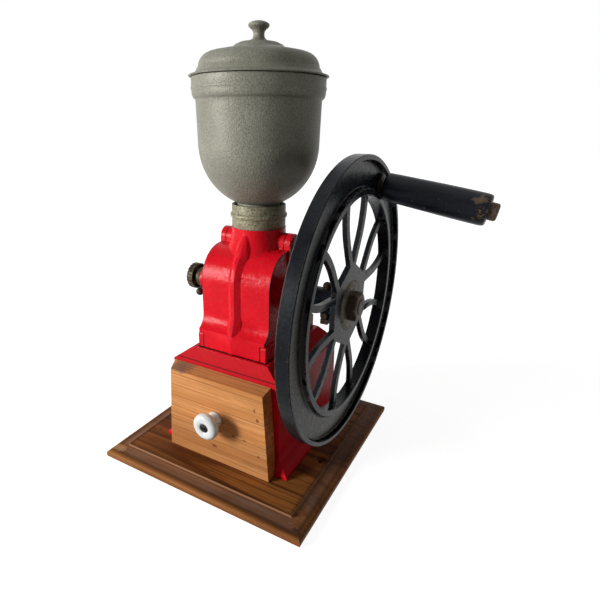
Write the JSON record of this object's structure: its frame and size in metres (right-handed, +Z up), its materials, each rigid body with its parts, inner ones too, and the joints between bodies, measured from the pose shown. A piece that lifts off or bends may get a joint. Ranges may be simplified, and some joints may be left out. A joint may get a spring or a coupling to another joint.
{
  "type": "coffee grinder mill",
  "caption": "Table coffee mill: spoked flywheel with a side handle turns flat burrs in an iron head under a lidded hopper; the ground coffee falls into a wooden drawer on a moulded board.",
  "frame": {"origin": "on the underside of the board, straight below the hopper's axis, which crosses the shaft's axis", "axes": "+X from the hopper towards the flywheel, along the shaft; -Y towards the drawer's front; +Z up"},
  "size_m": [0.3148, 0.26, 0.4033],
  "materials": {
    "walnut": "waxed, worn",
    "red_enamel": "glossy enamel, lightly worn",
    "dark_steel": "dark and greasy",
    "bronze": "plain bronze",
    "worn_steel": "worn, a little rusty",
    "burr_iron": "ground bright at the teeth",
    "old_brass": "dull olive patina",
    "black_paint": "satin black, chipped",
    "rusty_steel": "brown rust",
    "black_wood": "black stain worn through at the end",
    "collar_paint": "speckled grey over brass",
    "pewter_paint": "hammered pewter, glossy",
    "drawer_wood": "varnished, with knots",
    "box_wood": "bare, darkened",
    "porcelain": "white glaze"
  },
  "bodies": {
    "frame": {"base_board": "walnut", "board_screws": "dark_steel", "base_casting": "red_enamel", "head_bolts": "dark_steel", "head_casting": "red_enamel", "left_side_plate": "red_enamel", "right_side_plate": "red_enamel", "plate_screws": "dark_steel", "left_bush": "bronze", "right_bush": "bronze", "fixed_burr": "burr_iron", "fixed_burr_screws": "dark_steel", "hopper_collar": "collar_paint", "hopper_bowl": "pewter_paint"},
    "rotor": {"main_shaft": "worn_steel", "feed_auger": "burr_iron", "rotating_burr": "burr_iron", "burr_pin": "worn_steel", "flywheel": "black_paint", "hub_washer": "old_brass", "hub_nut": "worn_steel", "hub_set_screw": "dark_steel", "hub_clamp_screw": "worn_steel", "clamp_lock_nut": "worn_steel", "handle_spindle": "rusty_steel", "spindle_nut": "dark_steel", "handle_washer": "dark_steel"},
    "grip": {"handle_grip": "black_wood"},
    "adjuster": {"adjusting_screw": "worn_steel", "adjusting_knob": "old_brass"},
    "lock": {"lock_nut": "old_brass", "lock_lever": "worn_steel"},
    "lid": {"hopper_lid": "pewter_paint", "lid_knob": "pewter_paint", "lid_knob_nut": "worn_steel"},
    "drawer": {"drawer_front": "drawer_wood", "drawer_left_side": "box_wood", "drawer_right_side": "box_wood", "drawer_back": "box_wood", "drawer_bottom": "box_wood", "porcelain_knob": "porcelain", "knob_screw": "dark_steel", "knob_nut": "dark_steel"}
  },
  "joints": [
    {"name": "wheel_spin", "type": "hinge", "parent": "frame", "child": "rotor", "pos_m": [0, 0, 0.1731], "axis": [1, 0, 0], "continuous": true},
    {"name": "grip_spin", "type": "hinge", "parent": "rotor", "child": "grip", "pos_m": [0.1019, 0.04989, 0.27404], "axis": [0.9877, 0, -0.1564], "continuous": true},
    {"name": "adjuster_turn", "type": "hinge", "parent": "frame", "child": "adjuster", "pos_m": [-0.06, 0, 0.1731], "axis": [1, 0, 0], "range_deg": [-180, 180]},
    {"name": "lock_turn", "type": "hinge", "parent": "frame", "child": "lock", "pos_m": [-0.07, 0, 0.1731], "axis": [1, 0, 0], "range_deg": [-40, 40]},
    {"name": "lid_lift", "type": "slide", "parent": "frame", "child": "lid", "axis": [0, 0, 1], "range_m": [0, 0.08]},
    {"name": "drawer_slide", "type": "slide", "parent": "frame", "child": "drawer", "axis": [0, -1, 0], "range_m": [0, 0.1]}
  ]
}
